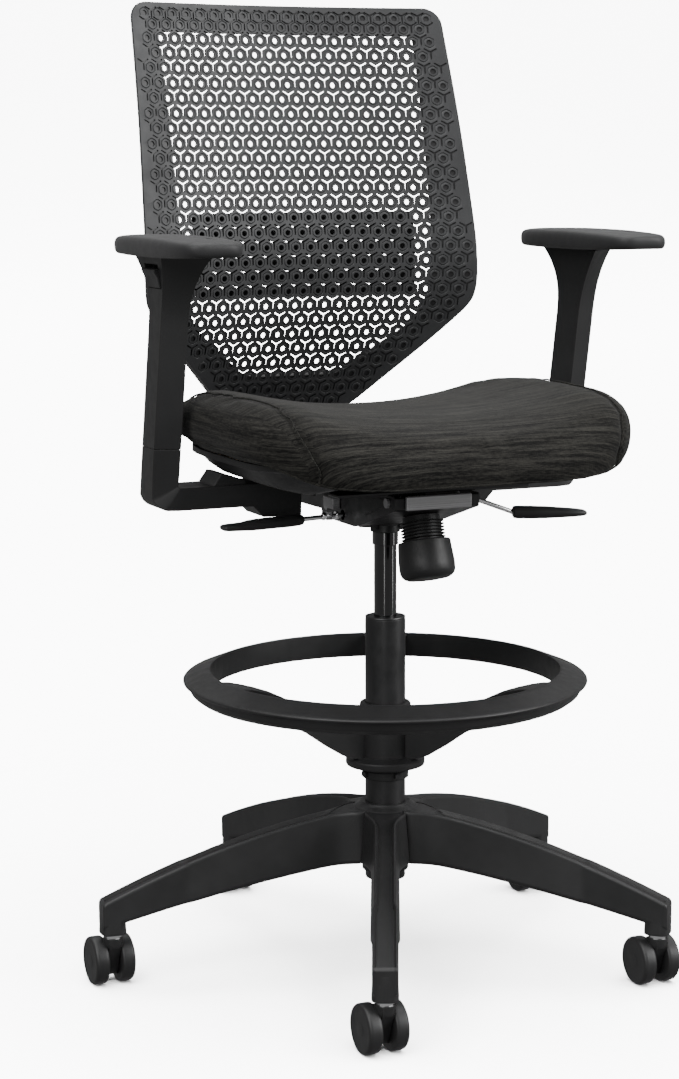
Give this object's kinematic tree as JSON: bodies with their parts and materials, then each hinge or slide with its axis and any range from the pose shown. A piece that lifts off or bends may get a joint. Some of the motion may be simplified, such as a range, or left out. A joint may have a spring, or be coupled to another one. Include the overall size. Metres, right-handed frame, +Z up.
{
  "type": "drafting chair",
  "caption": "Tall office chair on a star base with casters, foot ring, gas column, padded seat, adjustable arms and a perforated moulded back.",
  "frame": {"origin": "centre of the bounding box, on the floor", "axes": "+Z up, -Y the way the sitter faces, +X the sitter's left"},
  "size_m": [0.6998, 0.7196, 1.19],
  "materials": {
    "black_nylon": "moulded black glass-filled nylon, fine satin grain",
    "black_pad": "soft self-skinned black polyurethane",
    "shell_plastic": "moulded charcoal plastic, fine grain",
    "black_gloss": "glossy black lacquered steel",
    "black_steel": "satin black powder-coated steel",
    "grey_steel": "plain zinc-grey steel",
    "chrome": "bright plated steel",
    "spring_steel": "bare spring steel",
    "charcoal_fabric": "black heathered flat-woven upholstery",
    "plywood": "bare moulded plywood"
  },
  "bodies": {
    "base": {"star_base": "black_nylon", "column_tube": "black_steel", "column_bush": "black_nylon", "gas_rod": "chrome", "rod_clip": "spring_steel"},
    "ring": {"foot_ring": "black_nylon", "ring_spider": "black_nylon"},
    "collar": {"ring_lock_collar": "black_nylon"},
    "lift": {"piston_rod": "black_gloss"},
    "mechanism": {"mech_housing": "black_steel", "front_plate": "grey_steel", "side_plate": "grey_steel", "front_shaft": "grey_steel", "rear_shaft": "grey_steel", "recline_spring": "spring_steel", "tension_sleeve": "black_nylon"},
    "knob": {"tension_knob": "black_nylon", "tension_screw": "spring_steel"},
    "height_lever": {"height_lever_rod": "chrome", "height_lever_paddle": "black_nylon"},
    "tilt_lever": {"tilt_lever_rod": "chrome", "tilt_lever_paddle": "black_nylon"},
    "seat": {"seat_plate": "black_steel", "seat_pan": "black_nylon", "seat_board": "plywood", "seat_cushion": "charcoal_fabric"},
    "back": {"back_shell": "shell_plastic", "back_frame": "black_nylon", "back_spine": "black_nylon", "back_bolt_left": "grey_steel", "back_bolt_right": "grey_steel"},
    "lumbar": {"lumbar_band": "black_nylon"},
    "arm_left": {"arm_bracket_left": "black_nylon"},
    "arm_left_head": {"arm_sleeve_left": "black_nylon", "arm_pad_left": "black_pad"},
    "arm_left_button": {"arm_button_left": "black_nylon"},
    "arm_right": {"arm_bracket_right": "black_nylon"},
    "arm_right_head": {"arm_sleeve_right": "black_nylon", "arm_pad_right": "black_pad"},
    "arm_right_button": {"arm_button_right": "black_nylon"},
    "caster_0": {"caster_0_stem": "chrome", "caster_0_hood": "black_nylon"},
    "wheels_0": {"caster_0_wheel_left": "black_nylon", "caster_0_wheel_right": "black_nylon"},
    "caster_1": {"caster_1_stem": "chrome", "caster_1_hood": "black_nylon"},
    "wheels_1": {"caster_1_wheel_left": "black_nylon", "caster_1_wheel_right": "black_nylon"},
    "caster_2": {"caster_2_stem": "chrome", "caster_2_hood": "black_nylon"},
    "wheels_2": {"caster_2_wheel_left": "black_nylon", "caster_2_wheel_right": "black_nylon"},
    "caster_3": {"caster_3_stem": "chrome", "caster_3_hood": "black_nylon"},
    "wheels_3": {"caster_3_wheel_left": "black_nylon", "caster_3_wheel_right": "black_nylon"},
    "caster_4": {"caster_4_stem": "chrome", "caster_4_hood": "black_nylon"},
    "wheels_4": {"caster_4_wheel_left": "black_nylon", "caster_4_wheel_right": "black_nylon"}
  },
  "joints": [
    {"name": "ring_height", "type": "slide", "parent": "base", "child": "ring", "axis": [0, 0, 1], "range_m": [-0.028, 0.06]},
    {"name": "collar_twist", "type": "hinge", "parent": "ring", "child": "collar", "pos_m": [0.02052, -0.02582, 0.242], "axis": [0, 0, 1], "range_deg": [0, 60]},
    {"name": "gas_lift", "type": "slide", "parent": "base", "child": "lift", "axis": [0, 0, 1], "range_m": [-0.08, 0.13]},
    {"name": "seat_swivel", "type": "hinge", "parent": "lift", "child": "mechanism", "pos_m": [0.02052, -0.02582, 0.545], "axis": [0, 0, 1], "continuous": true},
    {"name": "tension_knob_turn", "type": "hinge", "parent": "mechanism", "child": "knob", "pos_m": [0.02052, -0.13482, 0.546], "axis": [0, 0.2924, 0.9563], "continuous": true},
    {"name": "height_lever_lift", "type": "hinge", "parent": "mechanism", "child": "height_lever", "pos_m": [-0.03448, -0.02082, 0.566], "axis": [0, 1, 0], "range_deg": [0, 8], "stiffness_Nm_per_rad": 1, "springref_deg": -4.58},
    {"name": "tilt_lever_turn", "type": "hinge", "parent": "mechanism", "child": "tilt_lever", "pos_m": [0.07552, -0.12082, 0.595], "axis": [0, 1, 0], "range_deg": [-10, 10]},
    {"name": "back_recline", "type": "hinge", "parent": "mechanism", "child": "back", "pos_m": [0.02052, 0.02418, 0.572], "axis": [-1, 0, 0], "range_deg": [0, 20], "stiffness_Nm_per_rad": 60, "springref_deg": -20.05},
    {"name": "seat_tilt", "type": "hinge", "parent": "mechanism", "child": "seat", "pos_m": [0.02052, -0.15082, 0.597], "axis": [-1, 0, 0], "range_deg": [0, 5.6]},
    {"name": "lumbar_height", "type": "slide", "parent": "back", "child": "lumbar", "axis": [0, 0, 1], "range_m": [-0.015, 0.015]},
    {"name": "arm_left_width", "type": "slide", "parent": "seat", "child": "arm_left", "axis": [1, 0, 0], "range_m": [-0.004, 0.025]},
    {"name": "arm_left_height", "type": "slide", "parent": "arm_left", "child": "arm_left_head", "axis": [0, -0.1923, 0.9813], "range_m": [0, 0.1]},
    {"name": "arm_left_button_press", "type": "slide", "parent": "arm_left_head", "child": "arm_left_button", "axis": [-1, 0, 0], "range_m": [0, 0.003], "stiffness_N_per_m": 600, "springref_m": -0.002},
    {"name": "arm_right_width", "type": "slide", "parent": "seat", "child": "arm_right", "axis": [-1, 0, 0], "range_m": [-0.004, 0.025]},
    {"name": "arm_right_height", "type": "slide", "parent": "arm_right", "child": "arm_right_head", "axis": [0, -0.1923, 0.9813], "range_m": [0, 0.1]},
    {"name": "arm_right_button_press", "type": "slide", "parent": "arm_right_head", "child": "arm_right_button", "axis": [1, 0, 0], "range_m": [0, 0.003], "stiffness_N_per_m": 600, "springref_m": -0.002},
    {"name": "caster_0_swivel", "type": "hinge", "parent": "base", "child": "caster_0", "pos_m": [-0.12655, -0.34121, 0], "axis": [0, 0, 1], "continuous": true},
    {"name": "caster_0_roll", "type": "hinge", "parent": "caster_0", "child": "wheels_0", "pos_m": [-0.12655, -0.32671, 0.0295], "axis": [1, 0, 0], "continuous": true},
    {"name": "caster_1_swivel", "type": "hinge", "parent": "base", "child": "caster_1", "pos_m": [0.27503, -0.26315, 0], "axis": [0, 0, 1], "continuous": true},
    {"name": "caster_1_roll", "type": "hinge", "parent": "caster_1", "child": "wheels_1", "pos_m": [0.27503, -0.24865, 0.0295], "axis": [1, 0, 0], "continuous": true},
    {"name": "caster_2_swivel", "type": "hinge", "parent": "base", "child": "caster_2", "pos_m": [0.32489, 0.14289, 0], "axis": [0, 0, 1], "continuous": true},
    {"name": "caster_2_roll", "type": "hinge", "parent": "caster_2", "child": "wheels_2", "pos_m": [0.32489, 0.1574, 0.0295], "axis": [1, 0, 0], "continuous": true},
    {"name": "caster_3_swivel", "type": "hinge", "parent": "base", "child": "caster_3", "pos_m": [-0.04588, 0.31579, 0], "axis": [0, 0, 1], "continuous": true},
    {"name": "caster_3_roll", "type": "hinge", "parent": "caster_3", "child": "wheels_3", "pos_m": [-0.04588, 0.33029, 0.0295], "axis": [1, 0, 0], "continuous": true},
    {"name": "caster_4_swivel", "type": "hinge", "parent": "base", "child": "caster_4", "pos_m": [-0.32489, 0.01659, 0], "axis": [0, 0, 1], "continuous": true},
    {"name": "caster_4_roll", "type": "hinge", "parent": "caster_4", "child": "wheels_4", "pos_m": [-0.32489, 0.03109, 0.0295], "axis": [1, 0, 0], "continuous": true}
  ],
  "couplings": [
    {"joint": "seat_tilt", "follows": "back_recline", "ratio": 0.28}
  ]
}
